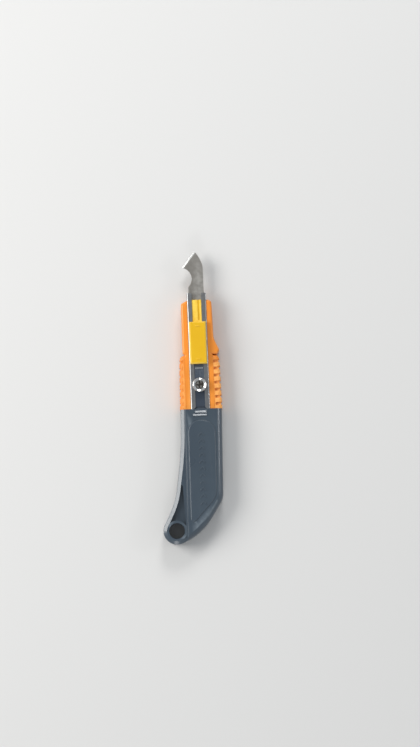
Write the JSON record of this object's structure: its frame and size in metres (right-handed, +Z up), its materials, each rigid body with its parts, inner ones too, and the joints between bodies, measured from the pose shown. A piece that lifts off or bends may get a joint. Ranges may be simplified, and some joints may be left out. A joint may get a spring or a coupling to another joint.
{
  "type": "utility knife",
  "caption": "Hook-blade scoring knife with a steel blade channel, a sliding thumb block locked by a screw, and a grip with a lanyard hole.",
  "frame": {"origin": "on the flat back face, under the lock screw's axis, on the centre line of the blade channel", "axes": "+Y along the knife towards the blade's tip, +Z up out of the slider side, +X towards the finger-guard side"},
  "size_m": [0.0371, 0.1714, 0.0163],
  "materials": {
    "rear_grip_plastic": "glossy moulded ABS, slate blue-grey",
    "front_grip_plastic": "satin moulded ABS, warm orange",
    "grip_pad_elastomer": "soft satin elastomer, warm orange",
    "slider_plastic": "satin moulded acetal, yellow",
    "core_plastic": "dull moulded nylon, dark grey",
    "channel_steel": "cold-rolled stainless sheet, bright folded edges",
    "blade_steel": "hardened steel, grey, with a bright ground face",
    "spring_steel": "spring steel strip",
    "fastener_steel": "zinc-plated steel",
    "chrome_plate": "bright chrome plate"
  },
  "bodies": {
    "handle": {"rear_grip_upper": "rear_grip_plastic", "rear_grip_lower": "rear_grip_plastic", "panel_inlay": "rear_grip_plastic", "front_grip_shell": "front_grip_plastic", "grip_pad_right": "grip_pad_elastomer", "grip_pad_left": "grip_pad_elastomer", "core_frame": "core_plastic", "blade_channel": "channel_steel", "channel_rivets": "fastener_steel", "stop_pin": "fastener_steel", "rear_screws": "fastener_steel", "front_screws": "fastener_steel"},
    "carriage": {"hook_blade": "blade_steel", "slide_carrier": "core_plastic", "thumb_slider": "slider_plastic", "blade_pin": "fastener_steel", "friction_spring": "spring_steel", "spring_rivet": "fastener_steel", "clamp_nut": "fastener_steel"},
    "washer": {"lock_washer": "chrome_plate"},
    "screw": {"lock_screw": "chrome_plate"}
  },
  "joints": [
    {"name": "slider_travel", "type": "slide", "parent": "handle", "child": "carriage", "axis": [0, 1, 0], "range_m": [-0.0085, 0.004]},
    {"name": "screw_lift", "type": "slide", "parent": "carriage", "child": "washer", "axis": [0, 0, 1], "range_m": [0, 0.00105]},
    {"name": "screw_turn", "type": "hinge", "parent": "washer", "child": "screw", "pos_m": [0, 0, 0], "axis": [0, 0, 1], "range_deg": [0, 541]}
  ],
  "couplings": [
    {"joint": "screw_turn", "follows": "screw_lift", "rad_per_m": 8976}
  ]
}
